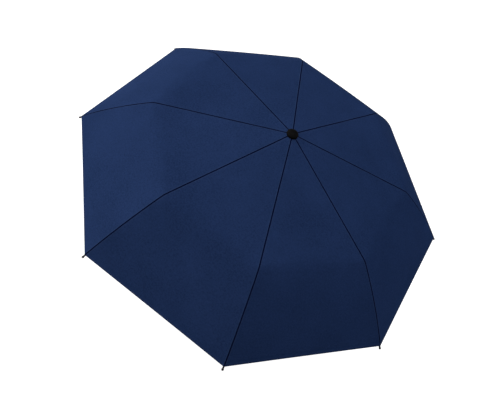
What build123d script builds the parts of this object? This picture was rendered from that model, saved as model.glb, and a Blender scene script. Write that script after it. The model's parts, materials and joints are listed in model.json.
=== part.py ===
"""Folding umbrella with a three-section shaft and eight folding ribs, open, shaft along Z."""
import os
from math import asin, atan2, cos, degrees, hypot, radians, sin, tan

from build123d import *

# Driving dimensions, in mm and degrees
RIB_COUNT = 8
RIB_STEP = 360 / RIB_COUNT
INNER_SLOPE = 10.1          # fall of the top and middle ribs
PIVOT_R = 9.5               # circle of the crown and runner wires
TOP_RIB = 155.0             # crown wire to elbow pin
MIDDLE_RIB = 154.0          # elbow pin to knee pin
OUTER_ARC = 213.0           # knee to tip along the curve
OUTER_START = 33.6          # fall of the outer rib at the knee
OUTER_END = 45.4            # fall of the outer rib at the tip
STRUT_ALONG = 87.9          # stretcher pin, along the top rib
STRUT_BELOW = 4.0           # stretcher pin, under the rib line
HORN_LENGTH = 7.5           # stretcher pin to drive link pin
HORN_ANGLE = 197.6          # direction of the drive link pin from the rib line
TAIL_LENGTH = 7.0           # elbow pin to the middle rib's tail pin
TAIL_ANGLE = 183.0          # direction of the tail pin from the rib line

# Handle
GRIP_TOP = 32.0
GRIP_BOTTOM = -34.0
GRIP_R = 13.5
GRIP_STRAIGHT = 40.0        # length of the cylindrical middle of the grip
GRIP_FOOT_R = 11.5
GRIP_FOOT_ARC = 60.0
GRIP_NECK_R = 9.0
GRIP_SHOULDER_ARC = 14.0
GRIP_RIM_R = 8.0
GRIP_RIM_HEIGHT = 1.5
PLUG_R = 11.0
PLUG_THICK = 2.5
PLUG_EDGE = 1.0
EYELET_R = 2.0              # bore of the wrist loop's eyelet
EYELET_RIM_R = 4.5
EYELET_THICK = 4.0
EYELET_DROP = 6.0           # grip's foot to the middle of the eyelet

# Shaft
RUNNING = 0.05              # radial clearance of every running fit
TUBE_WALL = 0.8
LOWER_TUBE_R = 3.8
MID_TUBE_R = LOWER_TUBE_R + RUNNING + TUBE_WALL
TOP_TUBE_R = MID_TUBE_R + RUNNING + TUBE_WALL
TELESCOPE = 130.0           # stroke of each moving tube
HANDLE_GAP = 1.5            # gap to the handle when shut
FERRULE_GAP = 0.5           # gap between the two ferrules when shut
TUBE_OVERLAP = 45.0         # length still engaged when pulled out
MID_FERRULE = 6.0
TOP_FERRULE = 8.0
MID_COLLAR = 0.6            # how far the middle ferrule stands out from the top tube
TOP_COLLAR = 1.0
FERRULE_EDGE = 0.5
RIB_DROP = 226.0            # crown wire to the top tube's lower end

# Crown and cap
HUB_R = 12.2
HUB_EDGE = 0.8
HUB_SLOT_R = 7.4
HUB_SLOT_HALF = 1.3
CROWN_BELOW = 5.0           # crown's foot under its wire
CROWN_HEIGHT = 6.3
CROWN_SOCKET = 3.5          # depth of the seat that holds the top tube
CAP_R = 13.8
CAP_HEIGHT = 9.0
CAP_STEM_R = 2.8
CAP_STEM_FOOT = 1.0         # end of the stem under the crown wire
CAP_RIM = 3.4               # height of the nearly straight rim
CAP_RIM_TAPER = 0.4
CAP_LIP = 1.6               # width of the lip that presses on the cloth
CAP_HOLLOW_EDGE = 2.2       # height of the hollow above the lip at its edge
CAP_HOLLOW_MIDDLE = 3.6

# Runner and button
RUNNER_R = 9.6
RUNNER_FLARE_R = 12.0
RUNNER_LENGTH = 32.0
RUNNER_HEAD = 3.0           # runner's top above its wire
RUNNER_RIM = 4.5            # foot of the slotted rim, below the wire
RUNNER_RIM_BEVEL = 2.0
RUNNER_FLARE = 4.0          # height of the flare's straight edge
RUNNER_FLARE_BEVEL = 3.0
RUNNER_SLOT_FOOT = 4.0
BUTTON_DROP = 17.0          # runner wire to the middle of the button
BUTTON_WIDTH = 6.0
BUTTON_HEIGHT = 10.0
BUTTON_CORNER = 1.9
BUTTON_FIT = 0.08
BUTTON_BACK = 8.0           # button's inner face, from the shaft's axis
BUTTON_LENGTH = 3.4
BUTTON_EDGE = 0.8
POCKET_BACK = 6.2           # floor of the button's pocket, from the shaft's axis

# Ribs and links
SHEET = 0.4                 # wall of the rib channels
CHANNEL_TOP = -0.2
CHANNEL_BOTTOM = -3.2
CHANNEL_DEPTH = 9.0         # reach of the cut that opens a channel
TOP_RIB_HALF = 1.5
TOP_RIB_CHANNEL = (13.0, 151.0)
TOP_RIB_TROUGH = (16.0, 146.0)
MIDDLE_RIB_HALF = 2.0
MIDDLE_RIB_START = 7.0      # elbow pin to the start of the middle rib's channel
MIDDLE_RIB_STOP = 1.5       # end of that channel to the knee pin
KNEE_DROP = 0.2             # knee pin under the channel
KNEE_EYE_ROOT = 5.0         # end of the middle rib's channel back to the root of its knee eye
FORK_REACH = 4.8            # opening of the middle rib's fork behind the elbow pin
TAIL_R = 1.2
NECK_HALF = 1.1
NECK_LENGTH = 2.0
EYE_ROOT = 1.0              # length of full channel that a rib's eye grows from
EYE_R = 1.8
EAR_LENGTH = 9.0            # foot of the ear that holds the stretcher pin
EAR_HEIGHT = 0.6
STRUT_HALF = 0.95
STRUT_HEIGHT = 2.6
STRUT_SOLID = (8.0, 16.0)   # flat ends of the stretcher, at the runner and at the rib
LINK_INNER = 2.2
LINK_OUTER = 3.0
LINK_HEIGHT = 1.3
LINK_EYE_R = 1.5
LINK_LOOP = (5.6, 5.0)      # loop round the tail pin, along and across the link
LINK_LOOP_WALL = 0.7
PIN_R = 0.7
SMALL_PIN_R = 0.6
PIN_PROUD = 0.1             # end of a small pin outside its link
WIRE_R = 0.6
WIRE_FIT = 0.02
WIRE_EYE_R = 0.75
OUTER_WIRE_R = 1.0
OUTER_EYE_R = 1.5
OUTER_EYE_END = 6.0         # knee pin to the round stretch of the outer rib
OUTER_EYE_PROUD = 0.1
TIP_R = 1.6
TIP_LENGTH = 11.0
TIP_OVERLAP = 2.0           # length of wire inside the tip
TIP_EDGE = 1.0

# Canopy
CLOTH = 0.5                 # canopy thickness
CLOTH_LIFT = 2.6            # rib line to the underside of the canopy
CLOTH_HOLE_R = 3.4
CLOTH_KNEE = 1.5            # knee of the cloth, past the knee pin
CLOTH_OVER_WIRE = 2.7       # cloth's hem to the end of the outer rib's wire
CAP_GAP = 0.2               # cloth to the cap's lip
CUT = 2.0                   # how far a cut runs past the surface it opens
CANOPY_REACH = 600.0        # half width that covers the whole canopy

# Places that follow from them
strut_length = hypot(STRUT_ALONG, STRUT_BELOW)
strut_lean = degrees(atan2(STRUT_BELOW, STRUT_ALONG))
mid_tube_foot = GRIP_TOP + HANDLE_GAP + TELESCOPE
top_tube_foot = mid_tube_foot + MID_FERRULE + FERRULE_GAP + TELESCOPE
crown_z = top_tube_foot + RIB_DROP
crown_foot = crown_z - CROWN_BELOW
runner_z = crown_z - 2 * strut_length * sin(radians(INNER_SLOPE + strut_lean))
runner_foot = runner_z - RUNNER_LENGTH
button_z = runner_z - BUTTON_DROP
outer_turn = OUTER_END - OUTER_START
outer_fall = (OUTER_START + OUTER_END) / 2 - INNER_SLOPE
outer_chord = OUTER_ARC * sin(radians(outer_turn / 2)) / radians(outer_turn / 2)


def polar(start, length, angle):
    """Point at a length and an angle in degrees from a start point."""
    return (start[0] + length * cos(radians(angle)), start[1] + length * sin(radians(angle)))


# Points of the rib plane: first along the rib from the crown wire, then above it
crown_pin = (0.0, 0.0)
strut_pin = (STRUT_ALONG, -STRUT_BELOW)
elbow_pin = (TOP_RIB, 0.0)
knee_pin = (TOP_RIB + MIDDLE_RIB, CHANNEL_BOTTOM - KNEE_DROP)
runner_pin = polar(strut_pin, strut_length, 180 + 2 * INNER_SLOPE + strut_lean)
horn_pin = polar(strut_pin, HORN_LENGTH, HORN_ANGLE)
tail_pin = polar(elbow_pin, TAIL_LENGTH, TAIL_ANGLE)
cloth_knee = (TOP_RIB + MIDDLE_RIB + CLOTH_KNEE, CLOTH_LIFT)
cloth_tip = polar(cloth_knee, outer_chord, -outer_fall)
wire_tip = polar(cloth_tip, CLOTH_OVER_WIRE, INNER_SLOPE - OUTER_END - 90)
wire_start = polar(knee_pin, OUTER_EYE_END, INNER_SLOPE - OUTER_START)

os.makedirs("parts", exist_ok=True)


def save(shape, name):
    """Label a finished piece and write its STEP file."""
    shape.label = name
    export_step(shape, f"parts/{name}.step")


def save_round(shape, name):
    """Write one copy of a piece for each rib, turned about the shaft."""
    for index in range(RIB_COUNT):
        save(shape.rotate(Axis.Z, index * RIB_STEP), f"{name}_{index + 1}")


def arc_middle(start, end, turn):
    """Middle point of an arc that turns downwards by an angle between two points."""
    length = hypot(end[0] - start[0], end[1] - start[1])
    heading = degrees(atan2(end[1] - start[1], end[0] - start[0]))
    return polar(polar(start, length / 2, heading), length / 2 * tan(radians(turn / 4)), heading + 90)


def rib_plane(y=0.0):
    """Plane of the first rib, at a sideways offset."""
    fall = radians(INNER_SLOPE)
    return Plane(origin=(PIVOT_R, y, crown_z), x_dir=(cos(fall), 0, -sin(fall)), z_dir=(0, -1, 0))


def link_plane(start, end, y):
    """Plane at a sideways offset whose X runs between two points of the rib plane."""
    base = rib_plane(y)
    origin = base.from_local_coords((start[0], start[1], 0))
    target = base.from_local_coords((end[0], end[1], 0))
    return Plane(origin=origin, x_dir=target - origin, z_dir=(0, -1, 0))


def ring(z, outer_r, inner_r):
    """Level ring about the shaft."""
    with BuildSketch(Plane.XY.offset(z)) as section:
        Circle(outer_r)
        Circle(inner_r, mode=Mode.SUBTRACT)
    return section.sketch


def wire_section(z, radius):
    """Section of a ring of wire about the shaft."""
    with BuildSketch(Plane.XZ) as section:
        with Locations((PIVOT_R, z)):
            Circle(radius)
    return section.sketch


def hub_slots(z, start_angle=0.0):
    """Slots in the rim of a hub, one for each rib or stretcher."""
    slot = HUB_R + CUT - HUB_SLOT_R
    with BuildSketch(Plane.XY.offset(z)) as slots:
        with PolarLocations(HUB_SLOT_R + slot / 2, RIB_COUNT, start_angle=start_angle):
            Rectangle(slot, 2 * HUB_SLOT_HALF)
    return slots.sketch


def side_disc(pin, radius, half):
    """Circle about a pin, at the side of a rib."""
    with BuildSketch(rib_plane(half)) as disc:
        with Locations(pin):
            Circle(radius)
    return disc.sketch


def side_box(start, end, top, bottom, half):
    """Rectangle along a rib, at its side."""
    with BuildSketch(rib_plane(half)) as box:
        with Locations((start, top)):
            Rectangle(end - start, top - bottom, align=(Align.MIN, Align.MAX))
    return box.sketch


def side_eye(pin, start, end, half):
    """Outline of a rib's end: an eye about its pin that grows from the channel's full height."""
    with BuildSketch(rib_plane(half)) as outline:
        with Locations(pin):
            Circle(EYE_R)
        with Locations((start, CHANNEL_TOP)):
            Rectangle(end - start, CHANNEL_TOP - CHANNEL_BOTTOM, align=(Align.MIN, Align.MAX))
        make_hull()
    return outline.sketch


# ---------------------------------------------------------------- handle and shaft
grip_half = GRIP_STRAIGHT / 2
grip_foot = (GRIP_FOOT_R, GRIP_BOTTOM)
grip_neck = (GRIP_NECK_R, GRIP_TOP - GRIP_RIM_HEIGHT)
with BuildPart() as handle_grip:
    with BuildSketch(Plane.XZ):
        with BuildLine():
            Line((LOWER_TUBE_R, GRIP_BOTTOM), grip_foot)
            RadiusArc(grip_foot, (GRIP_R, -grip_half), -GRIP_FOOT_ARC)
            Line((GRIP_R, -grip_half), (GRIP_R, grip_half))
            RadiusArc((GRIP_R, grip_half), grip_neck, -GRIP_SHOULDER_ARC)
            Polyline(grip_neck, (GRIP_RIM_R, GRIP_TOP), (LOWER_TUBE_R, GRIP_TOP), (LOWER_TUBE_R, GRIP_BOTTOM))
        make_face()
    revolve(axis=Axis.Z)
save(handle_grip.part, "handle_grip")

with BuildPart() as end_plug:
    with BuildSketch(Plane.XY.offset(GRIP_BOTTOM)):
        Circle(PLUG_R)
    extrude(amount=-PLUG_THICK)
    fillet(end_plug.faces().sort_by(Axis.Z)[0].edges(), PLUG_EDGE)
    with BuildSketch(Plane.XZ.offset(-EYELET_THICK / 2)):
        with Locations((0, GRIP_BOTTOM - PLUG_THICK / 2)):
            Rectangle(2 * EYELET_RIM_R, EYELET_DROP - PLUG_THICK / 2, align=(Align.CENTER, Align.MAX))
        with Locations((0, GRIP_BOTTOM - EYELET_DROP)):
            Circle(EYELET_RIM_R)
            Circle(EYELET_R, mode=Mode.SUBTRACT)
    extrude(amount=EYELET_THICK)
save(end_plug.part, "end_plug")

with BuildPart() as lower_tube:
    extrude(
        ring(GRIP_BOTTOM, LOWER_TUBE_R, LOWER_TUBE_R - TUBE_WALL),
        amount=mid_tube_foot + TUBE_OVERLAP - GRIP_BOTTOM,
    )
save(lower_tube.part, "lower_tube")

with BuildPart() as mid_tube:
    extrude(
        ring(mid_tube_foot, MID_TUBE_R, MID_TUBE_R - TUBE_WALL),
        amount=top_tube_foot + TUBE_OVERLAP - mid_tube_foot,
    )
save(mid_tube.part, "mid_tube")

with BuildPart() as mid_ferrule:
    extrude(ring(mid_tube_foot, TOP_TUBE_R + MID_COLLAR, MID_TUBE_R), amount=MID_FERRULE)
    chamfer(mid_ferrule.edges().filter_by(GeomType.CIRCLE).group_by(SortBy.RADIUS)[-1], FERRULE_EDGE)
save(mid_ferrule.part, "mid_ferrule")

with BuildPart() as top_tube:
    extrude(
        ring(top_tube_foot, TOP_TUBE_R, TOP_TUBE_R - TUBE_WALL),
        amount=crown_foot + CROWN_SOCKET - top_tube_foot,
    )
save(top_tube.part, "top_tube")

with BuildPart() as top_ferrule:
    extrude(ring(top_tube_foot, TOP_TUBE_R + TOP_COLLAR, TOP_TUBE_R), amount=TOP_FERRULE)
    chamfer(top_ferrule.edges().filter_by(GeomType.CIRCLE).group_by(SortBy.RADIUS)[-1], FERRULE_EDGE)
save(top_ferrule.part, "top_ferrule")

# ---------------------------------------------------------------- crown, wires and cap
with BuildPart() as crown:
    with BuildSketch(Plane.XY.offset(crown_foot)):
        Circle(HUB_R)
    extrude(amount=CROWN_HEIGHT)
    fillet(crown.faces().sort_by(Axis.Z)[0].edges(), HUB_EDGE)
    with BuildSketch(Plane.XY.offset(crown_foot)):
        Circle(TOP_TUBE_R)
    extrude(amount=CROWN_SOCKET, mode=Mode.SUBTRACT)
    with BuildSketch(Plane.XY.offset(crown_foot)):
        Circle(CAP_STEM_R)
    extrude(amount=CROWN_HEIGHT + CUT, mode=Mode.SUBTRACT)
    extrude(hub_slots(crown_foot), amount=CROWN_HEIGHT + CUT, mode=Mode.SUBTRACT)
    revolve(wire_section(crown_z, WIRE_R + WIRE_FIT), axis=Axis.Z, mode=Mode.SUBTRACT)
save(crown.part, "crown")

with BuildPart() as crown_wire:
    revolve(wire_section(crown_z, WIRE_R), axis=Axis.Z)
save(crown_wire.part, "crown_wire")

cloth_apex = crown_z + CLOTH_LIFT / cos(radians(INNER_SLOPE)) + PIVOT_R * tan(radians(INNER_SLOPE))
cap_foot = cloth_apex + CLOTH + CAP_GAP - CAP_R * cos(radians(RIB_STEP / 2)) * tan(radians(INNER_SLOPE))
cap_top = cap_foot + CAP_HEIGHT
dome_edge = (CAP_R - CAP_RIM_TAPER, cap_foot + CAP_RIM)
dome_rise = CAP_HEIGHT - CAP_RIM
dome_r = (dome_edge[0] ** 2 + dome_rise ** 2) / (2 * dome_rise)
dome_middle = polar((0, cap_top - dome_r), dome_r, 90 - degrees(asin(dome_edge[0] / dome_r)) / 2)
with BuildPart() as cap:
    with BuildSketch(Plane.XZ):
        with BuildLine():
            Polyline(
                (0, cap_top),
                (0, crown_z - CAP_STEM_FOOT),
                (CAP_STEM_R, crown_z - CAP_STEM_FOOT),
                (CAP_STEM_R, cap_foot + CAP_HOLLOW_MIDDLE),
                (CAP_R - CAP_LIP - CAP_RIM_TAPER, cap_foot + CAP_HOLLOW_EDGE),
                (CAP_R - CAP_LIP, cap_foot),
                (CAP_R, cap_foot),
                dome_edge,
            )
            ThreePointArc(dome_edge, dome_middle, (0, cap_top))
        make_face()
    revolve(axis=Axis.Z)
save(cap.part, "cap")

# ---------------------------------------------------------------- runner, its button between two ribs
runner_bore = TOP_TUBE_R + RUNNING
with BuildPart() as runner:
    with BuildSketch(Plane.XZ):
        with BuildLine():
            Polyline(
                (runner_bore, runner_z + RUNNER_HEAD),
                (HUB_R, runner_z + RUNNER_HEAD),
                (HUB_R, runner_z - RUNNER_RIM),
                (RUNNER_R, runner_z - RUNNER_RIM - RUNNER_RIM_BEVEL),
                (RUNNER_R, runner_foot + RUNNER_FLARE + RUNNER_FLARE_BEVEL),
                (RUNNER_FLARE_R, runner_foot + RUNNER_FLARE),
                (RUNNER_FLARE_R, runner_foot),
                (runner_bore, runner_foot),
                close=True,
            )
        make_face()
    revolve(axis=Axis.Z)
    extrude(
        hub_slots(runner_z - RUNNER_SLOT_FOOT, start_angle=RIB_STEP / 2),
        amount=RUNNER_SLOT_FOOT + RUNNER_HEAD + CUT,
        mode=Mode.SUBTRACT,
    )
    revolve(wire_section(runner_z, WIRE_R + WIRE_FIT), axis=Axis.Z, mode=Mode.SUBTRACT)
    with BuildSketch(Plane.YZ.offset(POCKET_BACK)):
        with Locations((0, button_z)):
            RectangleRounded(
                BUTTON_WIDTH + 2 * BUTTON_FIT, BUTTON_HEIGHT + 2 * BUTTON_FIT, BUTTON_CORNER + BUTTON_FIT
            )
    extrude(amount=RUNNER_R - POCKET_BACK + CUT, mode=Mode.SUBTRACT)
save(runner.part.rotate(Axis.Z, RIB_STEP / 2), "runner")

with BuildPart() as runner_wire:
    revolve(wire_section(runner_z, WIRE_R), axis=Axis.Z)
save(runner_wire.part, "runner_wire")

with BuildPart() as runner_button:
    with BuildSketch(Plane.YZ.offset(BUTTON_BACK)):
        with Locations((0, button_z)):
            RectangleRounded(BUTTON_WIDTH, BUTTON_HEIGHT, BUTTON_CORNER)
    extrude(amount=BUTTON_LENGTH)
    fillet(runner_button.faces().sort_by(Axis.X)[-1].edges(), BUTTON_EDGE)
save(runner_button.part.rotate(Axis.Z, RIB_STEP / 2), "runner_button")

# ---------------------------------------------------------------- ribs, built on the +X side
trough_top = CHANNEL_TOP - SHEET
trough_bottom = trough_top - CHANNEL_DEPTH

with BuildPart() as top_rib:
    extrude(side_box(*TOP_RIB_CHANNEL, CHANNEL_TOP, CHANNEL_BOTTOM, TOP_RIB_HALF), amount=2 * TOP_RIB_HALF)
    with BuildSketch(rib_plane(TOP_RIB_HALF)):
        with Locations(strut_pin):
            Circle(EYE_R)
        with Locations((STRUT_ALONG, CHANNEL_BOTTOM)):
            Rectangle(EAR_LENGTH, EAR_HEIGHT, align=(Align.CENTER, Align.MIN))
        make_hull()
    extrude(amount=2 * TOP_RIB_HALF)
    extrude(
        side_box(*TOP_RIB_TROUGH, trough_top, trough_bottom, TOP_RIB_HALF - SHEET),
        amount=2 * (TOP_RIB_HALF - SHEET),
        mode=Mode.SUBTRACT,
    )
    elbow_root = TOP_RIB_CHANNEL[1] - EYE_ROOT
    neck_root = TOP_RIB_CHANNEL[0] + NECK_LENGTH
    extrude(side_eye(elbow_pin, elbow_root - EYE_ROOT, elbow_root, TOP_RIB_HALF), amount=2 * TOP_RIB_HALF)
    extrude(side_eye(crown_pin, TOP_RIB_CHANNEL[0], neck_root, NECK_HALF), amount=2 * NECK_HALF)
    extrude(side_disc(crown_pin, WIRE_EYE_R, NECK_HALF), amount=2 * NECK_HALF, mode=Mode.SUBTRACT)
    extrude(side_disc(strut_pin, PIN_R, TOP_RIB_HALF), amount=2 * TOP_RIB_HALF)
    extrude(side_disc(elbow_pin, PIN_R, MIDDLE_RIB_HALF), amount=2 * MIDDLE_RIB_HALF)
save_round(top_rib.part, "top_rib")

with BuildPart() as stretcher:
    with BuildSketch(link_plane(strut_pin, runner_pin, STRUT_HALF)):
        with Locations((strut_length / 2, 0)):
            SlotCenterToCenter(strut_length, STRUT_HEIGHT)
    extrude(amount=2 * STRUT_HALF)
    with BuildSketch(link_plane(strut_pin, runner_pin, STRUT_HALF - SHEET)):
        with Locations((STRUT_SOLID[1], SHEET - STRUT_HEIGHT / 2)):
            Rectangle(strut_length - sum(STRUT_SOLID), STRUT_HEIGHT + CUT, align=(Align.MIN, Align.MIN))
    extrude(amount=2 * (STRUT_HALF - SHEET), mode=Mode.SUBTRACT)
    with BuildSketch(link_plane(strut_pin, runner_pin, STRUT_HALF)):
        Circle(PIN_R + RUNNING)
        with Locations((strut_length, 0)):
            Circle(WIRE_EYE_R)
    extrude(amount=2 * STRUT_HALF, mode=Mode.SUBTRACT)
    extrude(side_disc(horn_pin, SMALL_PIN_R, LINK_OUTER + PIN_PROUD), amount=LINK_OUTER + PIN_PROUD)
save_round(stretcher.part, "stretcher")

link_length = hypot(tail_pin[0] - horn_pin[0], tail_pin[1] - horn_pin[1])
with BuildPart() as drive_link:
    with BuildSketch(link_plane(horn_pin, tail_pin, LINK_OUTER)):
        with Locations((link_length / 2, 0)):
            SlotCenterToCenter(link_length, LINK_HEIGHT)
        Circle(LINK_EYE_R)
        with Locations((link_length, 0)):
            SlotOverall(*LINK_LOOP)
            SlotOverall(*(size - 2 * LINK_LOOP_WALL for size in LINK_LOOP), mode=Mode.SUBTRACT)
        Circle(SMALL_PIN_R + RUNNING, mode=Mode.SUBTRACT)
    extrude(amount=LINK_OUTER - LINK_INNER)
save_round(drive_link.part, "drive_link")

channel_start = TOP_RIB + MIDDLE_RIB_START
channel_end = TOP_RIB + MIDDLE_RIB - MIDDLE_RIB_STOP
knee_root = channel_end - KNEE_EYE_ROOT
with BuildPart() as middle_rib:
    for outline in (
        side_box(channel_start, channel_end, CHANNEL_TOP, CHANNEL_BOTTOM, MIDDLE_RIB_HALF),
        side_eye(elbow_pin, channel_start - EYE_ROOT / 2, channel_start + EYE_ROOT / 2, MIDDLE_RIB_HALF),
        side_eye(knee_pin, knee_root - EYE_ROOT / 2, knee_root + EYE_ROOT / 2, MIDDLE_RIB_HALF),
    ):
        extrude(outline, amount=2 * MIDDLE_RIB_HALF)
    with BuildSketch(rib_plane(MIDDLE_RIB_HALF)):
        with Locations(elbow_pin):
            Circle(EYE_R)
        with Locations(tail_pin):
            Circle(TAIL_R)
        make_hull()
    extrude(amount=SHEET)
    inner_half = MIDDLE_RIB_HALF - SHEET
    for outline in (
        side_box(TOP_RIB, knee_pin[0] + MIDDLE_RIB_START, trough_top, trough_bottom, inner_half),
        side_box(TOP_RIB - FORK_REACH, channel_start, CHANNEL_DEPTH / 2, -CHANNEL_DEPTH / 2, inner_half),
    ):
        extrude(outline, amount=2 * inner_half, mode=Mode.SUBTRACT)
    extrude(
        side_disc(elbow_pin, PIN_R + RUNNING, MIDDLE_RIB_HALF), amount=2 * MIDDLE_RIB_HALF, mode=Mode.SUBTRACT
    )
    extrude(side_disc(knee_pin, PIN_R, MIDDLE_RIB_HALF), amount=2 * MIDDLE_RIB_HALF)
    extrude(
        side_disc(tail_pin, SMALL_PIN_R, LINK_OUTER + PIN_PROUD),
        amount=LINK_OUTER + PIN_PROUD - MIDDLE_RIB_HALF + SHEET / 2,
    )
save_round(middle_rib.part, "middle_rib")

tip_heading = degrees(atan2(wire_tip[1] - wire_start[1], wire_tip[0] - wire_start[0])) - outer_turn / 2
tip_root = rib_plane().from_local_coords((*polar(wire_tip, -TIP_OVERLAP, tip_heading), 0))
tip_end = rib_plane().from_local_coords((*polar(wire_tip, TIP_LENGTH, tip_heading), 0))
with BuildPart() as outer_rib:
    with BuildLine(rib_plane()) as wire_path:
        ThreePointArc(wire_start, arc_middle(wire_start, wire_tip, outer_turn), wire_tip)
    with BuildSketch(Plane(origin=wire_path.line @ 0, z_dir=wire_path.line % 0)):
        Circle(OUTER_WIRE_R)
    sweep()
    with BuildSketch(rib_plane(OUTER_WIRE_R)):
        with Locations(knee_pin):
            Circle(OUTER_EYE_R)
        with Locations(wire_start):
            Circle(OUTER_WIRE_R + OUTER_EYE_PROUD)
        make_hull()
    extrude(amount=2 * OUTER_WIRE_R)
    extrude(side_disc(knee_pin, PIN_R + RUNNING, OUTER_WIRE_R), amount=2 * OUTER_WIRE_R, mode=Mode.SUBTRACT)
    with BuildSketch(Plane(origin=tip_root, z_dir=tip_end - tip_root)):
        Circle(TIP_R)
    extrude(amount=TIP_LENGTH)
    fillet(outer_rib.edges().filter_by(GeomType.CIRCLE).sort_by(Axis.Z)[0], TIP_EDGE)
save_round(outer_rib.part, "outer_rib")

# ---------------------------------------------------------------- canopy
half_step = radians(RIB_STEP / 2)
knee_rise = CLOTH / cos(radians(INNER_SLOPE))
tip_rise = CLOTH / cos(radians(OUTER_END))
cloth_bend = arc_middle(cloth_knee, cloth_tip, outer_turn)


def gore_point(point, above=0.0):
    """Point of the gore's middle plane, level with a point of the rib plane."""
    place = rib_plane().from_local_coords((point[0], point[1], 0))
    return (place.X * cos(half_step), place.Z + above)


with BuildPart() as gore:
    with BuildSketch(Plane.XZ):
        with BuildLine():
            Line((0, cloth_apex), gore_point(cloth_knee))
            ThreePointArc(gore_point(cloth_knee), gore_point(cloth_bend), gore_point(cloth_tip))
            Line(gore_point(cloth_tip), gore_point(cloth_tip, tip_rise))
            ThreePointArc(
                gore_point(cloth_tip, tip_rise),
                gore_point(cloth_bend, (knee_rise + tip_rise) / 2),
                gore_point(cloth_knee, knee_rise),
            )
            Polyline(gore_point(cloth_knee, knee_rise), (0, cloth_apex + knee_rise), (0, cloth_apex))
        make_face()
    extrude(amount=CANOPY_REACH, both=True)
    with BuildSketch(Plane.XY):
        wedge_half = CANOPY_REACH * tan(half_step)
        Polygon((0, 0), (CANOPY_REACH, -wedge_half), (CANOPY_REACH, wedge_half), align=None)
    extrude(amount=cap_top, mode=Mode.INTERSECT)

with BuildPart() as canopy:
    with PolarLocations(0, RIB_COUNT, start_angle=RIB_STEP / 2):
        add(gore.part)
    with BuildSketch(Plane.XY.offset(crown_z)):
        Circle(CLOTH_HOLE_R)
    extrude(amount=cap_top - crown_z, mode=Mode.SUBTRACT)
save(canopy.part, "canopy")
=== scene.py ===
import json
from math import atan2, cos, pi, radians, sin

import bpy
from mathutils import Matrix, Vector


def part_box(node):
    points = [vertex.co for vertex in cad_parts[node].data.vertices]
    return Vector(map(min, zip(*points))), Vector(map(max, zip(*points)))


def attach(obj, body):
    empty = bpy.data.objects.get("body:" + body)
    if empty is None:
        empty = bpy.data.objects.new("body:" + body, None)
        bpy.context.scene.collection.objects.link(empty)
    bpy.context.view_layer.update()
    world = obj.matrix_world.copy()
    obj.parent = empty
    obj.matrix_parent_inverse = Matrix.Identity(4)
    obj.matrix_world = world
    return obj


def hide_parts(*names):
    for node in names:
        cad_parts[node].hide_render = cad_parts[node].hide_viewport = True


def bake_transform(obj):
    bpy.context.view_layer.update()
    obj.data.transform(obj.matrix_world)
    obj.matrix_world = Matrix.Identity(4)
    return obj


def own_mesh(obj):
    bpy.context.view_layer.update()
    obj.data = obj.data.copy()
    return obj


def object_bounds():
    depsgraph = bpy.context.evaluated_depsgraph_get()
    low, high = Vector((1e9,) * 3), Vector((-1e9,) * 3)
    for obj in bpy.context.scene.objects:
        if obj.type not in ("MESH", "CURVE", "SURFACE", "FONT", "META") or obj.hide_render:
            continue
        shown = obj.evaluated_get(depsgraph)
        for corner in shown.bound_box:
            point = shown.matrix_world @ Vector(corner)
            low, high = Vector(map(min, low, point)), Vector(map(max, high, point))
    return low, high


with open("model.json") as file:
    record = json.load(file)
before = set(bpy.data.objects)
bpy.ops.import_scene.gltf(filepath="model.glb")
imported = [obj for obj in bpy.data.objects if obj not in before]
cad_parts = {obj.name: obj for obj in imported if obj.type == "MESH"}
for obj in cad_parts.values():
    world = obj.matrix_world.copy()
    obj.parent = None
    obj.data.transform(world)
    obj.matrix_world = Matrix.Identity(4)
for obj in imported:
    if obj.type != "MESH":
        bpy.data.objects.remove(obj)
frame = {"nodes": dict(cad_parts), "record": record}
cad_low, cad_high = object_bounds()

# ---------------------------------------------------------------- sizes, in metres
RIBS = 8
STEP = radians(360 / RIBS)
HALF = STEP / 2
crown_low, crown_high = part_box("crown_wire")
crown_z = (crown_low.z + crown_high.z) / 2
PIVOT_R = 0.0095                # crown wire, from the shaft's axis
CLOTH_LIFT = 0.0026             # cloth above the rib line
APEX_CLEAR = 0.0003             # and a little more, all over
SLOPE_IN = radians(10.1)        # fall of the cloth from the crown to the knee
SLOPE_KNEE = radians(33.6)      # just past the knee
SLOPE_TIP = radians(45.4)       # at the hem
OUTER_ARC = 0.213               # knee to hem along the rib
ELBOW = 0.155                   # crown wire to elbow along the rib
KNEE = 0.3105                   # crown wire to the bend in the cloth
HOLE_R = 0.0034                 # hole in the cloth under the cap
SWELL = 0.0016                  # how far a gore stands out at its middle
SWELL_SHIFT = 1.15              # above 1 moves the fullest place towards the hem
SWELL_BREADTH = 0.8             # below 1 spreads it
HEM_BOW = 0.0004                # how far the hem curves in between two tips
KNEE_SOFT_RIB = 0.005           # half the length over which the cloth bends at a rib
KNEE_SOFT_MIDDLE = 0.032        # the same at the middle of a gore
KNEE_SAMPLES = 16               # points in the moving average that rounds the knee
HEM_FOLD = 0.0075               # cloth turned up inside the hem
# rows of the turned hem: depth inside the cloth and distance from the hem
HEM_LOOP = ((0.0008, 0.0), (0.0010, 0.0012), (0.0004, HEM_FOLD))
PLEAT_LEAN = 0.03               # lean towards the cloth's normal in the axis worked out for each outer half gore
GORE_COLUMNS = 14
COLUMN_CROWDING = 1.25          # above 1 brings the columns closer together at the rib
SLOPE_STEP = 0.002              # small steps that measure the cloth's slope and normal
NORMAL_STEP = 0.0015
ACROSS_STEP = 0.01
NEAR_MIDDLE = 0.985             # past this share of a half gore the normal is taken as the middle line's

# patches under the cloth at the elbows and knees
PATCH_ROWS = 24
PATCH_COLUMNS = 8
PATCH_REACH = 0.020             # half its length
PATCH_HALF_WIDTH = 0.0060
PATCH_TAPER = 0.6               # share of the width that the ends lose
PATCH_DROP = 0.0004             # under the cloth
PATCH_DROOP = 0.55              # follows the gores' fall away from the rib

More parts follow.
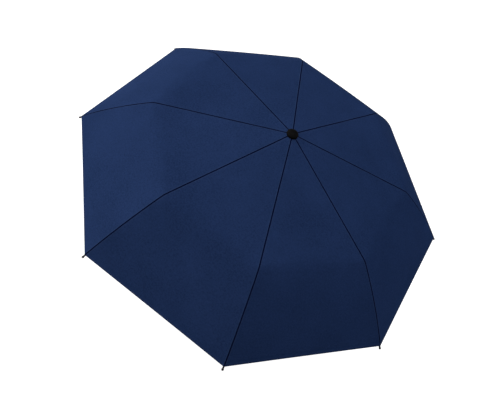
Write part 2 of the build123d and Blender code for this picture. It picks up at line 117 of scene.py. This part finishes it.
# cloth, seams and grip
THREAD_WAVE = 0.0007            # one over and under of the weave
SEAM_LINE = 0.0016              # dark line beside the rib
SEAM_FOLD = 0.0034              # outer edge of the folded cloth beside it, which gets a painted highlight
STITCH_AT = 0.0026              # stitch row, from the rib
STITCH_HALF = 0.00035
STITCH_PITCH = 0.0026
STITCH_SHARE = 0.68             # share of the pitch that shows thread
RING_PITCH = 0.004              # rings on the grip
RING_REACH = 0.019              # and how far they go each way from its middle

# tips
TIP_BACK = 0.0125               # how far a tip's cap reaches back up the wire
TIP_INSET = 0.0011              # wire's end, inside the outer rib's box
TIP_RISE = 0.0012


# ---------------------------------------------------------------- canopy shape
apex_z = crown_z + CLOTH_LIFT / cos(SLOPE_IN) + PIVOT_R * sin(SLOPE_IN) / cos(SLOPE_IN) + APEX_CLEAR
knee_arc = KNEE + PIVOT_R / cos(SLOPE_IN)
elbow_arc = ELBOW + PIVOT_R / cos(SLOPE_IN)
hem_arc = knee_arc + OUTER_ARC
bend_rate = (SLOPE_TIP - SLOPE_KNEE) / OUTER_ARC


def sharp_profile(arc):
    """Radius and height of the rib-line cloth at an arc length from the apex."""
    if arc <= knee_arc:
        return arc * cos(SLOPE_IN), apex_z - arc * sin(SLOPE_IN)
    turn = bend_rate * (arc - knee_arc)
    radius = knee_arc * cos(SLOPE_IN) + (sin(SLOPE_KNEE + turn) - sin(SLOPE_KNEE)) / bend_rate
    height = apex_z - knee_arc * sin(SLOPE_IN) - (cos(SLOPE_KNEE) - cos(SLOPE_KNEE + turn)) / bend_rate
    return radius, height


def soft_profile(arc, softness):
    """The same with the knee rounded by a moving average."""
    if arc + softness < knee_arc or arc - softness > knee_arc:
        return sharp_profile(arc)
    radius = height = total = 0.0
    for k in range(KNEE_SAMPLES):
        offset = 2 * (k + 0.5) / KNEE_SAMPLES - 1
        weight = 1 - offset * offset
        point = sharp_profile(arc + softness * offset)
        radius += weight * point[0]
        height += weight * point[1]
        total += weight
    return radius / total, height / total


def fullness(arc, from_middle):
    """Share of the outward swell: nothing at the ribs, the apex and the hem, most between them."""
    along = min(1.0, max(0.0, arc / hem_arc))
    full = sin(pi * along ** SWELL_SHIFT) ** SWELL_BREADTH if 0 < along < 1 else 0.0
    return full * (1 - from_middle * from_middle)


def cloth_point(rib, side, arc, across):
    """Point of a half gore: across is 0 on the rib and 1 at the gore's middle line; side is +1 or -1."""
    from_middle = 1 - across
    softness = KNEE_SOFT_RIB + (KNEE_SOFT_MIDDLE - KNEE_SOFT_RIB) * (1 - from_middle * from_middle)
    radius, height = soft_profile(arc, softness)
    apothem = radius * cos(HALF)
    sideways = radius * sin(HALF) * from_middle
    middle = rib * STEP + side * HALF
    ahead = soft_profile(arc + SLOPE_STEP, softness)
    behind = soft_profile(arc - SLOPE_STEP, softness)
    slope = atan2(behind[1] - ahead[1], ahead[0] - behind[0])
    swell = SWELL * fullness(arc, from_middle)
    hem_bow = HEM_BOW * (1 - from_middle * from_middle) * max(0.0, (arc - knee_arc) / OUTER_ARC) ** 2
    apothem += swell * sin(slope) - hem_bow * cos(slope)
    height += swell * cos(slope) + hem_bow * sin(slope)
    outward = Vector((cos(middle), sin(middle), 0))
    along = Vector((-sin(middle), cos(middle), 0))
    place = outward * apothem - along * side * sideways
    place.z = height
    return place


def cloth_normal(rib, side, arc, across):
    """Outward normal of the smooth cloth, from small steps along and across it."""
    ahead = cloth_point(rib, side, arc + NORMAL_STEP, across)
    behind = cloth_point(rib, side, arc - NORMAL_STEP, across)
    along = ahead - behind
    low = max(0.0, across - ACROSS_STEP)
    high = min(1.0, across + ACROSS_STEP)
    over = cloth_point(rib, side, arc, high) - cloth_point(rib, side, arc, low)
    if across > NEAR_MIDDLE:
        middle = rib * STEP + side * HALF
        over = Vector((-sin(middle), cos(middle), 0)) * side
    normal = along.cross(over)
    return (normal if normal.z > 0 else -normal).normalized()


# ---------------------------------------------------------------- materials
def new_material(name, colour, roughness, metallic=0.0):
    material = bpy.data.materials.new(name)
    material.use_nodes = True
    shader = material.node_tree.nodes["Principled BSDF"]
    shader.inputs["Base Color"].default_value = (*colour, 1)
    shader.inputs["Roughness"].default_value = roughness
    shader.inputs["Metallic"].default_value = metallic
    return material, shader


def node(material, kind, **settings):
    made = material.node_tree.nodes.new(kind)
    for key, value in settings.items():
        setattr(made, key, value)
    return made


def link(material, source, target):
    material.node_tree.links.new(source, target)


def maths(material, operation, first, second=None):
    """A Math node; each input is a socket or a number."""
    made = node(material, "ShaderNodeMath", operation=operation)
    for place, value in enumerate((first, second)):
        if value is None:
            continue
        if isinstance(value, (int, float)):
            made.inputs[place].default_value = value
        else:
            link(material, value, made.inputs[place])
    return made.outputs[0]


def times(material, first, second):
    return maths(material, "MULTIPLY", first, second)


def plus(material, first, second):
    return maths(material, "ADD", first, second)


def below(material, value, limit):
    """1 where the value is under the limit, and 0 elsewhere."""
    return maths(material, "LESS_THAN", value, limit)


def noise(material, vector, scale, detail=3.0, roughness=0.5):
    made = node(material, "ShaderNodeTexNoise")
    made.inputs["Scale"].default_value = scale
    made.inputs["Detail"].default_value = detail
    made.inputs["Roughness"].default_value = roughness
    link(material, vector, made.inputs["Vector"])
    return made.outputs["Fac"]


def ramp(material, factor, stops):
    made = node(material, "ShaderNodeValToRGB")
    elements = made.color_ramp.elements
    while len(elements) < len(stops):
        elements.new(0.5)
    for element, (position, colour) in zip(elements, stops):
        element.position = position
        element.color = (*colour, 1)
    link(material, factor, made.inputs["Fac"])
    return made.outputs["Color"]


def bump(material, shader, height, strength, distance):
    made = node(material, "ShaderNodeBump")
    made.inputs["Strength"].default_value = strength
    made.inputs["Distance"].default_value = distance
    link(material, height, made.inputs["Height"])
    link(material, made.outputs["Normal"], shader.inputs["Normal"])


def cloth_material(name, base, light):
    """Plain-weave nylon. The UV map is in metres: U from the rib seam, V from the apex."""
    material, shader = new_material(name, base, 0.62)
    shader.inputs["Sheen Weight"].default_value = 0.03
    shader.inputs["Sheen Roughness"].default_value = 0.22
    shader.inputs["Sheen Tint"].default_value = (0.55, 0.65, 0.95, 1)
    shader.inputs["Specular IOR Level"].default_value = 0.0
    uv = node(material, "ShaderNodeUVMap", uv_map="cloth")
    parts = node(material, "ShaderNodeSeparateXYZ")
    link(material, uv.outputs["UV"], parts.inputs[0])
    from_seam, from_apex = parts.outputs["X"], parts.outputs["Y"]
    place = node(material, "ShaderNodeTexCoord").outputs["Object"]
    threads = 2 * pi / THREAD_WAVE
    warp = maths(material, "SINE", times(material, from_seam, threads))
    weft = maths(material, "SINE", times(material, from_apex, threads))
    weave = times(material, warp, weft)
    cloudy = noise(material, place, 9.0, 4.0, 0.55)
    fine = noise(material, place, 300.0, 3.0, 0.7)
    # seam: a dark line beside the rib, then folded cloth with a stitch row on it and a painted highlight
    # over it
    seam_line = below(material, from_seam, SEAM_LINE)
    fold = below(material, from_seam, SEAM_FOLD)
    off_row = maths(material, "ABSOLUTE", maths(material, "SUBTRACT", from_seam, STITCH_AT))
    stitch_row = below(material, off_row, STITCH_HALF)
    dash_place = maths(material, "FRACT", times(material, from_apex, 1 / STITCH_PITCH))
    stitches = times(material, stitch_row, below(material, dash_place, STITCH_SHARE))
    shade = plus(material, times(material, cloudy, 0.3), times(material, fine, 0.7))
    colour = ramp(material, shade, [(0.3, [c * 0.74 for c in base]), (0.7, [c * 1.15 for c in light])])
    darker = node(material, "ShaderNodeMix", data_type="RGBA", blend_type="MULTIPLY")
    link(material, colour, darker.inputs["A"])
    darker.inputs["B"].default_value = (0.12, 0.14, 0.22, 1)
    dark_share = maths(material, "MAXIMUM", seam_line, times(material, stitches, 0.6))
    link(material, dark_share, darker.inputs["Factor"])
    # painted highlight: the folded cloth beside the seam line is made lighter, as where light catches
    # the fold
    fold_highlight_share = times(material, maths(material, "SUBTRACT", fold, seam_line), 0.5)
    highlight_mix = node(material, "ShaderNodeMix", data_type="RGBA", blend_type="ADD")
    link(material, darker.outputs["Result"], highlight_mix.inputs["A"])
    highlight_mix.inputs["B"].default_value = (0.012, 0.018, 0.036, 1)
    link(material, fold_highlight_share, highlight_mix.inputs["Factor"])
    link(material, highlight_mix.outputs["Result"], shader.inputs["Base Color"])
    rough = plus(material, times(material, cloudy, 0.16), 0.52)
    link(material, rough, shader.inputs["Roughness"])
    relief = plus(material, times(material, weave, 0.25), times(material, fold, 1.1))
    relief = maths(material, "SUBTRACT", relief, times(material, stitches, 0.7))
    relief = plus(material, relief, times(material, cloudy, 1.6))
    bump(material, shader, relief, 0.5, 0.0004)
    return material


def plastic_material(name, colour, roughness, specular=0.2, grain=900.0):
    """Moulded plastic with a fine spark-eroded grain and faint handling marks."""
    material, shader = new_material(name, colour, roughness)
    shader.inputs["Specular IOR Level"].default_value = specular
    place = node(material, "ShaderNodeTexCoord").outputs["Object"]
    fine = noise(material, place, grain, 2.0)
    broad = noise(material, place, 60.0, 4.0)
    stops = [(0.3, [c * 0.8 for c in colour]), (0.7, [c * 1.35 for c in colour])]
    link(material, ramp(material, broad, stops), shader.inputs["Base Color"])
    rough = plus(material, times(material, broad, 0.22), roughness - 0.1)
    link(material, rough, shader.inputs["Roughness"])
    bump(material, shader, fine, 0.25, 0.0002)
    return material


def metal_material(name, colour, roughness, streak):
    """Drawn metal: long fine streaks, brighter and duller patches."""
    material, shader = new_material(name, colour, roughness, 1.0)
    place = node(material, "ShaderNodeTexCoord").outputs["Object"]
    mapping = node(material, "ShaderNodeMapping")
    mapping.inputs["Scale"].default_value = streak
    link(material, place, mapping.inputs["Vector"])
    lines = noise(material, mapping.outputs["Vector"], 40.0, 3.0)
    patches = noise(material, place, 35.0, 4.0)
    stops = [(0.25, [c * 0.82 for c in colour]), (0.7, colour)]
    link(material, ramp(material, patches, stops), shader.inputs["Base Color"])
    both = plus(material, times(material, lines, 0.14), times(material, patches, 0.12))
    link(material, plus(material, both, roughness - 0.12), shader.inputs["Roughness"])
    bump(material, shader, lines, 0.08, 0.0002)
    return material


def grip_material():
    """Soft-touch rubber with fine rings round the grip's straight stretch."""
    material, shader = new_material("grip_rubber", (0.012, 0.012, 0.013), 0.6)
    place = node(material, "ShaderNodeTexCoord").outputs["Object"]
    parts = node(material, "ShaderNodeSeparateXYZ")
    link(material, place, parts.inputs[0])
    ring = maths(material, "SINE", times(material, parts.outputs["Z"], 2 * pi / RING_PITCH))
    inside = below(material, maths(material, "ABSOLUTE", parts.outputs["Z"]), RING_REACH)
    grain = noise(material, place, 1200.0, 2.0)
    wear = noise(material, place, 70.0, 4.0)
    stops = [(0.3, (0.009, 0.009, 0.010)), (0.75, (0.022, 0.022, 0.024))]
    link(material, ramp(material, wear, stops), shader.inputs["Base Color"])
    link(material, plus(material, times(material, wear, 0.25), 0.45), shader.inputs["Roughness"])
    relief = plus(material, times(material, ring, inside), times(material, grain, 0.4))
    bump(material, shader, relief, 0.6, 0.0005)
    return material


cloth = cloth_material("navy_cloth", (0.0100, 0.0230, 0.071), (0.0130, 0.0275, 0.083))
patch_cloth = plastic_material("patch_cloth", (0.006, 0.010, 0.026), 0.75, 0.03, 1500.0)
black_plastic = plastic_material("black_plastic", (0.0025, 0.0025, 0.0027), 0.62, 0.03)
button_plastic = plastic_material("button_plastic", (0.016, 0.016, 0.018), 0.28)
tube_metal = metal_material("plated_tube", (0.58, 0.59, 0.61), 0.24, (6, 6, 0.15))
rib_metal = metal_material("rib_steel", (0.46, 0.47, 0.49), 0.38, (1, 1, 1))
wire_metal = metal_material("spring_wire", (0.36, 0.37, 0.39), 0.42, (1, 1, 1))
tip_plastic = plastic_material("tip_plastic", (0.012, 0.012, 0.014), 0.35)
grip_rubber = grip_material()

cad_materials = {
    "grip": grip_rubber,
    "tube": tube_metal,
    "black_plastic": black_plastic,
    "button": button_plastic,
    "rib_steel": rib_metal,
    "rib_wire": wire_metal,
}
for part in frame["record"]["subparts"]:
    if part["material_slot"] in cad_materials:
        piece = frame["nodes"][part["node"]]
        piece.data.materials.clear()
        piece.data.materials.append(cad_materials[part["material_slot"]])


# ---------------------------------------------------------------- canopy pieces
def add_object(name, points, faces, material):
    mesh = bpy.data.meshes.new(name)
    mesh.from_pydata(points, [], faces)
    mesh.materials.append(material)
    for face in mesh.polygons:
        face.use_smooth = True
    made = bpy.data.objects.new(name, mesh)
    bpy.context.scene.collection.objects.link(made)
    return made


def square_cut(arc, across):
    """Arc length, part way across a half gore, of the cut that leaves the rib at an arc length.

    The cut leaves the rib squarely at the elbow and half way between squarely and level at the knee."""
    slant = 0.5 if abs(arc - knee_arc) < 1e-6 else 1.0
    radius = sharp_profile(arc)[0] / (1 - slant * across * sin(HALF) ** 2)
    if radius <= sharp_profile(knee_arc)[0]:
        return radius / cos(SLOPE_IN)
    low, high = knee_arc, hem_arc
    for _ in range(30):
        middle = (low + high) / 2
        if sharp_profile(middle)[0] < radius:
            low = middle
        else:
            high = middle
    return low


def grid_faces(rows, columns):
    """Quads of a grid of points, row by row."""
    width = columns + 1
    starts = [r * width + c for r in range(rows) for c in range(columns)]
    return [(here, here + 1, here + width + 1, here + width) for here in starts]


def half_gore(rib, side, zone, start, end, rows, columns):
    """One half gore from one cut to the next, with normals that match its neighbours."""
    overs = [(c / columns) ** COLUMN_CROWDING for c in range(columns + 1)]
    grid = []
    for r in range(rows + 1):
        for across in overs:
            first = start if zone == "inner" else square_cut(start, across)
            last = end if zone == "outer" else square_cut(end, across)
            grid.append((first + (last - first) * r / rows, across))
    points = [cloth_point(rib, side, arc, across) for arc, across in grid]
    normals = [cloth_normal(rib, side, arc, across) for arc, across in grid]
    if zone == "outer":
        for drop, inset in HEM_LOOP:
            for across in overs:
                normal = cloth_normal(rib, side, end - inset, across)
                points.append(cloth_point(rib, side, end - inset, across) - normal * drop)
                normals.append(-normal)
                grid.append((end - inset, across))
        rows += len(HEM_LOOP)
    faces = grid_faces(rows, columns)
    if side > 0:
        faces = [face[::-1] for face in faces]
    name = f"gore_{rib + 1}_{'left' if side > 0 else 'right'}_{zone}"
    made = add_object(name, points, faces, cloth)
    layer = made.data.uv_layers.new(name="cloth")
    for loop in made.data.loops:
        arc, across = grid[loop.vertex_index]
        layer.data[loop.index].uv = (sharp_profile(arc)[0] * sin(HALF) * across, arc)
    made.data.normals_split_custom_set_from_vertices(normals)
    return made


ZONES = (
    ("inner", HOLE_R / cos(SLOPE_IN), elbow_arc, 14, "top_rib_{}"),
    ("middle", elbow_arc, knee_arc, 16, "middle_rib_{}"),
    ("outer", knee_arc, hem_arc, 22, "outer_rib_{}"),
)


def build_canopy():
    first = True
    for rib in range(RIBS):
        for side in (1, -1):
            for zone, start, end, rows, body in ZONES:
                piece = half_gore(rib, side, zone, start, end, rows, GORE_COLUMNS)
                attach(piece, body.format(rib + 1))
                middle = (start + end) / 2
                seam = cloth_point(rib, side, middle, 0.0)
                along = cloth_point(rib, side, end, 0.0) - cloth_point(rib, side, start, 0.0)
                across = cloth_point(rib, side, square_cut(middle, 1.0), 1.0) - seam
                across -= along * (across.dot(along) / along.length_squared)
                lean = PLEAT_LEAN * side if zone == "outer" else 0.0
                axis = across.normalized() + cloth_normal(rib, side, middle, 0.5) * lean
                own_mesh(piece)
                reach = end if zone == "outer" else square_cut(end, 1.0)
                width = (cloth_point(rib, side, reach, 1.0) - cloth_point(rib, side, reach, 0.0)).length
                if first:
                    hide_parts("canopy")
                    first = False


def build_patches():
    """Small doubled patches under the cloth at each elbow and knee."""
    for rib in range(RIBS):
        for name, arc, inner, outer in (("elbow", elbow_arc, "top_rib", "middle_rib"),
                                        ("knee", knee_arc, "middle_rib", "outer_rib")):
            outward = Vector((cos(rib * STEP), sin(rib * STEP), 0))
            sideways = Vector((-sin(rib * STEP), cos(rib * STEP), 0))
            points = []
            for r in range(PATCH_ROWS + 1):
                along = 2 * r / PATCH_ROWS - 1
                radius, height = soft_profile(arc + PATCH_REACH * along, KNEE_SOFT_RIB)
                width = PATCH_HALF_WIDTH * (1 - abs(along) ** 4 * PATCH_TAPER)
                for c in range(PATCH_COLUMNS + 1):
                    across = 2 * c / PATCH_COLUMNS - 1
                    place = outward * radius + sideways * (width * across)
                    place.z = height - PATCH_DROP - PATCH_DROOP * abs(width * across) * sin(HALF)
                    points.append(place)
            faces = grid_faces(PATCH_ROWS, PATCH_COLUMNS)
            patch = add_object(f"{name}_patch_{rib + 1}", points, faces, patch_cloth)
            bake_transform(patch)


# ---------------------------------------------------------------- small pieces
def lathe(name, profile, origin, axis, material, count=20):
    """A turned piece: profile is (radius, distance along the axis) pairs."""
    turn = Vector((0, 0, 1)).rotation_difference(Vector(axis)).to_matrix()
    points, faces = [], []
    for radius, distance in profile:
        for k in range(count):
            angle = 2 * pi * k / count
            ring_point = Vector((radius * cos(angle), radius * sin(angle), distance))
            points.append(Vector(origin) + turn @ ring_point)
    for r in range(len(profile) - 1):
        for k in range(count):
            faces.append((r * count + k, r * count + (k + 1) % count,
                          (r + 1) * count + (k + 1) % count, (r + 1) * count + k))
    return add_object(name, points, faces, material)


def build_tips():
    """Moulded cap over the wire's end at each corner."""
    low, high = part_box("outer_rib_1")
    heading = Vector((cos(SLOPE_TIP), 0, -sin(SLOPE_TIP)))
    start = Vector((high.x - TIP_INSET, 0, low.z + TIP_RISE)) - heading * TIP_BACK
    profile = [(0.0, 0.0), (0.0018, 0.0), (0.0020, 0.0006), (0.0020, 0.0085), (0.0024, 0.0092),
               (0.0027, 0.0105), (0.0027, 0.0118), (0.0021, 0.0130), (0.0010, 0.0137), (0.0, 0.0138)]
    for rib in range(RIBS):
        turn = Matrix.Rotation(rib * STEP, 3, "Z")
        tip = lathe(f"tip_{rib + 1}", profile, turn @ start, turn @ heading, tip_plastic)
        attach(tip, f"outer_rib_{rib + 1}")


# ---------------------------------------------------------------- floor, light and camera
tip_radius = sharp_profile(hem_arc)[0]
FLOOR_DROP = 0.004              # floor below the lowest point of the part
FLOOR_SIZE = 14
floor_z = cad_low.z - FLOOR_DROP
LIGHT_AIM_DROP = 0.1            # lights point this far below the crown
CAMERA_LENS = 35.37             # millimetres, on a sensor 36 wide
CAMERA_AZIMUTH = 121.35         # seen from the apex, in degrees
CAMERA_ELEVATION = 46.01
CAMERA_DISTANCE = 2.314         # from the apex, in canopy radii
AIM_AZIMUTH = 119.21            # the point looked at, level with the apex
AIM_OUT = 0.446                 # and how far out it is, in canopy radii
CAMERA_ROLL = 29.21             # about the line of sight


def build_floor():
    bpy.ops.mesh.primitive_plane_add(size=FLOOR_SIZE, location=(0, 0, floor_z))
    floor = bpy.context.object
    floor.name = "floor"
    material, shader = new_material("floor_paint", (0.45, 0.45, 0.45), 0.8)
    shader.inputs["Specular IOR Level"].default_value = 0.1
    shader.inputs["Emission Color"].default_value = (1, 1, 1, 1)
    shader.inputs["Emission Strength"].default_value = 0.90
    floor.data.materials.append(material)


def polar(azimuth, elevation, distance):
    """Offset from its direction, in degrees, and its length."""
    flat = distance * cos(radians(elevation))
    return Vector((flat * cos(radians(azimuth)), flat * sin(radians(azimuth)),
                   distance * sin(radians(elevation))))


def aim(obj, target):
    obj.rotation_euler = (Vector(target) - obj.location).to_track_quat("-Z", "Y").to_euler()


def build_light(name, azimuth, elevation, distance, size, energy, colour=(1, 1, 1)):
    """Round area light that faces the canopy, placed round the crown by angles in degrees."""
    data = bpy.data.lights.new(name, "AREA")
    data.shape = "DISK"
    data.size = size
    data.energy = energy
    data.color = colour
    lamp = bpy.data.objects.new(name, data)
    bpy.context.scene.collection.objects.link(lamp)
    lamp.location = Vector((0, 0, crown_z)) + polar(azimuth, elevation, distance)
    aim(lamp, (0, 0, crown_z - LIGHT_AIM_DROP))


def build_camera():
    """Camera above and to one side, placed by the canopy's own apex and radius."""
    data = bpy.data.cameras.new("camera")
    camera = bpy.data.objects.new("camera", data)
    bpy.context.scene.collection.objects.link(camera)
    data.sensor_width = 36
    data.lens = CAMERA_LENS
    data.clip_end = 60
    apex = Vector((0, 0, apex_z))
    camera.location = apex + polar(CAMERA_AZIMUTH, CAMERA_ELEVATION, CAMERA_DISTANCE * tip_radius)
    target = apex + polar(AIM_AZIMUTH, 0, AIM_OUT * tip_radius)
    level = (target - camera.location).to_track_quat("-Z", "Y").to_matrix()
    camera.rotation_euler = (level @ Matrix.Rotation(radians(CAMERA_ROLL), 3, "Z")).to_euler()
    bpy.context.scene.camera = camera


def build_world():
    """Soft grey light all round, and a white backdrop for what the camera sees directly."""
    world = bpy.data.worlds.new("studio")
    bpy.context.scene.world = world
    world.use_nodes = True
    nodes = world.node_tree.nodes
    ambient = nodes["Background"]
    ambient.inputs["Color"].default_value = (1, 1, 1, 1)
    ambient.inputs["Strength"].default_value = 0.06
    backdrop = nodes.new("ShaderNodeBackground")
    backdrop.inputs["Color"].default_value = (1, 1, 1, 1)
    backdrop.inputs["Strength"].default_value = 0.95
    path = nodes.new("ShaderNodeLightPath")
    mix = nodes.new("ShaderNodeMixShader")
    links = world.node_tree.links
    links.new(path.outputs["Is Camera Ray"], mix.inputs["Fac"])
    links.new(ambient.outputs[0], mix.inputs[1])
    links.new(backdrop.outputs[0], mix.inputs[2])
    links.new(mix.outputs[0], nodes["World Output"].inputs["Surface"])


build_canopy()
build_patches()
build_tips()
build_floor()
build_light("key", 0, 88, 2.7, 1.7, 57)
build_light("side", 12, 18, 2.7, 1.7, 50, (1, 0.92, 0.84))
build_light("fill", 60, 8, 2.7, 1.7, 42, (1, 0.95, 0.9))
build_light("right_fill", 240, 30, 2.7, 1.7, 18)
build_camera()
build_world()
bpy.context.scene.view_settings.view_transform = "Standard"
bpy.context.scene.view_settings.look = "None"
